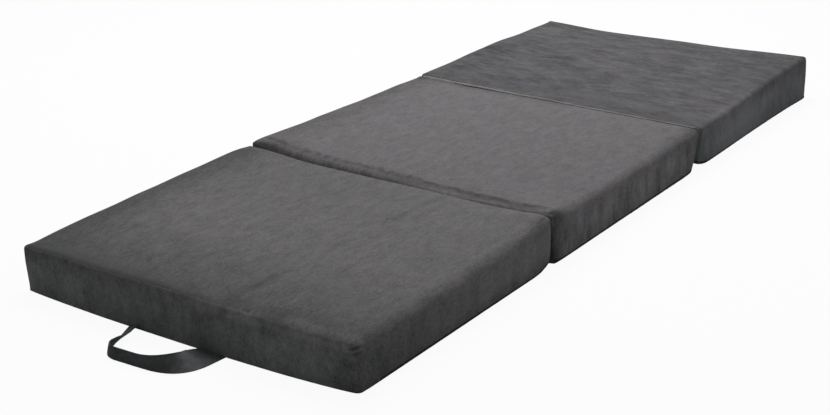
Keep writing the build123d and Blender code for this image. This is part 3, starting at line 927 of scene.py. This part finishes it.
def nylon(name, dark, light):
    """Nylon monofilament: satin, with a faint mottle along the wire."""
    material, tree, place = new_material(name)
    mottle = add(tree, "ShaderNodeTexNoise", {"Vector": place, "Scale": 900.0, "Detail": 2.0}).outputs[0]
    colour = mixed(tree, mottle, linear(dark), linear(light))
    coated(tree, {"Base Color": colour, "Roughness": 0.4, "IOR": 1.53})
    return material


def dress(node_name, finish):
    """Gives a node of the solids its finish."""
    for material_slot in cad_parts[node_name].material_slots:
        material_slot.material = finish


# Finishes. The nap runs along the front and middle sections and across the rear one, and up the end panels.
NO_LINE = (0.001, 0.0, "#444444", 0.1, 0.9)
ALONG = (4.0, 24.0, 12.0)
front_velour = velour(
    "velour_nap_along_front", "#3c3d3d", "#777476", nap=ALONG, strengths=(0.4, 0.55, 0.9),
    line=(23.0, 0.85, "#404241", 0.4, 0.9), side_tint=(0.985, 1.0, 1.01),
)
front_end = velour(
    "velour_front_end", "#3c3d3d", "#777476", nap=ALONG, strengths=(0.25, 1.1, 0.9),
    line=(18.0, 0.75, "#4a4c4b", 0.4, 0.9), side_tint=(0.95, 1.04, 1.0),
)
# its dark line colour draws the nap's brow and the painted shade at the foot of the nose
middle_velour = velour(
    "velour_nap_along_middle", "#3e3d3e", "#787577", nap=ALONG, strengths=(0.4, 0.55, 2.0),
    line=(14.0, 0.75, "#3b3938", 0.1, 0.85), side_tint=(0.985, 1.0, 1.015),
)
rear_velour = velour(
    "velour_nap_across_rear", "#303033", "#666466", nap=(40.0, 12.0, 30.0), strengths=(0.4, 1.3, 1.5),
    line=(90.0, 0.25, "#363536", 0.1, 0.9), side_tint=(0.95, 1.04, 1.05),
)
end_velour = velour(
    "velour_nap_upright_ends", "#3a3c3b", "#6f716f", nap=(22.0, 22.0, 40.0), strengths=(0.4, 1.1, 0.5), line=NO_LINE
)
# underside cloth, made near-black so that it also paints the shade along the lower edges where it wraps up the sides
underside_and_painted_shade = woven("polyester_underside", "#0d0e10", "#17181b", 1.2, 0.9)
# its line is the pale band of painted light on the flat right part of the strap
strap_cloth = velour(
    "velour_folded_strap", "#252829", "#474a4b", nap=(40.0, 40.0, 12.0), strengths=(0.5, 1.2, 0.0),
    line=(55.0, 0.65, "#68686a", 0.05, 0.5),
)
seam_cloth = velour(
    "velour_rubbed_seam", "#5f5d5b", "#9a9793", nap=(30.0, 6.0, 6.0), strengths=(0.8, 0.8, 0.0),
    line=(52.0, 1.0, "#5c5b5b", 0.2, 0.6),
)
tape_cloth = woven("zip_tape_polyester", "#161719", "#2b2c2f", 0.6, 0.7)
coil_nylon = nylon("zip_coil_nylon", "#1b1c1e", "#2c2d30")
zip_metal = lacquered_zinc("zip_lacquered_zinc", "#232427", "#4a4b4e")
memory_foam = open_cell_foam("memory_foam_cream", "#c9bf9e", "#ece5cf", 0.8)
support_foam = open_cell_foam("support_foam_white", "#c5c7c9", "#eceded", 1.4)

for name in SECTIONS:
    wrap = {"front": front_velour, "middle": middle_velour, "rear": rear_velour}[name]
    near = {"front": front_end, "middle": wrap, "rear": end_velour}[name]
    soft = covers(name, {"wrap": wrap, "near": near, "far": end_velour, "bottom": underside_and_painted_shade})
    soft += [foam_block(name, "support", support_foam), foam_block(name, "memory", memory_foam)]
    if name != "front":
        for obj in soft:
            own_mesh(obj)
    zip_teeth(name, coil_nylon)
    dress(f"{name}_zip_tapes", tape_cloth)
    for metal in ("stops", "slider", "pull"):
        dress(f"{name}_zip_{metal}", zip_metal)

fold = (SECTION + FOLD_GAP) / 2
fold_strip("front", -fold, 1.0, 1, 0, underside_and_painted_shade)
fold_strip("rear", fold, EDGE - 0.8, -1, 1, seam_cloth)
handle_strap(strap_cloth)
dress("handle_tabs", strap_cloth)

# Floor, light and camera
scene = bpy.context.scene
scene.view_settings.view_transform = "Standard"


def seen_directly(tree):
    """1 for rays from the camera, and for those that a reflection or a clear surface sends on from it."""
    rays = add(tree, "ShaderNodeLightPath").outputs
    seen = maths(tree, "MAXIMUM", rays["Is Camera Ray"], rays["Is Glossy Ray"])
    return maths(tree, "MAXIMUM", seen, rays["Is Transmission Ray"])


def pale_floor():
    """Wide floor that is white where the camera or a reflection sees it, apart from the mattress's shadow."""
    h = FLOOR_HALF
    mesh = bpy.data.meshes.new("floor")
    mesh.from_pydata([(-h, -h, 0), (h, -h, 0), (h, h, 0), (-h, h, 0)], [], [(0, 1, 2, 3)])
    material, tree, _ = new_material("pale_floor")
    paint = add(tree, "ShaderNodeBsdfDiffuse", {"Color": linear("#d8d8d8")}).outputs[0]
    white = add(tree, "ShaderNodeEmission", {"Strength": 1.0}).outputs[0]
    lifted = add(tree, "ShaderNodeMixShader", {0: FLOOR_WHITENESS, 1: paint, 2: white}).outputs[0]
    surface = add(tree, "ShaderNodeMixShader", {0: seen_directly(tree), 1: paint, 2: lifted}).outputs[0]
    add(tree, "ShaderNodeOutputMaterial", {"Surface": surface})
    mesh.materials.append(material)
    obj = bpy.data.objects.new("floor", mesh)
    obj.location.z = -FLOOR_DROP
    scene.collection.objects.link(obj)


def sky(strength):
    """Even studio light from all round, which the camera sees as white."""
    world = bpy.data.worlds.new("studio")
    world.use_nodes = True
    tree = world.node_tree
    tree.nodes.clear()
    level = remapped(tree, seen_directly(tree), 0.0, 1.0, strength, 1.0)
    light = add(tree, "ShaderNodeBackground", {"Color": (1, 1, 1, 1), "Strength": level}).outputs[0]
    add(tree, "ShaderNodeOutputWorld", {"Surface": light})
    scene.world = world


def softbox(name, place, aim, size, watts):
    """Square area lamp at a place, turned to face its aim."""
    lamp = bpy.data.lights.new(name, "AREA")
    lamp.shape = "SQUARE"
    lamp.size = size
    lamp.energy = watts
    obj = bpy.data.objects.new(name, lamp)
    obj.location = place
    obj.rotation_euler = (mathutils.Vector(aim) - mathutils.Vector(place)).to_track_quat("-Z", "Y").to_euler()
    scene.collection.objects.link(obj)


def camera(azimuth, elevation, distance, aim, lens):
    """Camera at a distance from its aim, azimuth degrees round from the handle end towards +x, elevation above it."""
    a, e = math.radians(azimuth), math.radians(elevation)
    back = mathutils.Vector((math.sin(a) * math.cos(e), -math.cos(a) * math.cos(e), math.sin(e)))
    data = bpy.data.cameras.new("camera")
    data.lens = lens
    data.sensor_width = SENSOR_WIDTH
    obj = bpy.data.objects.new("camera", data)
    obj.location = mathutils.Vector(aim) + back * distance
    obj.rotation_euler = (-back).to_track_quat("-Z", "Y").to_euler()
    scene.collection.objects.link(obj)
    scene.camera = obj


pale_floor()
sky(SKY_STRENGTH)
softbox("key", **KEY_LAMP)
camera(**CAMERA)
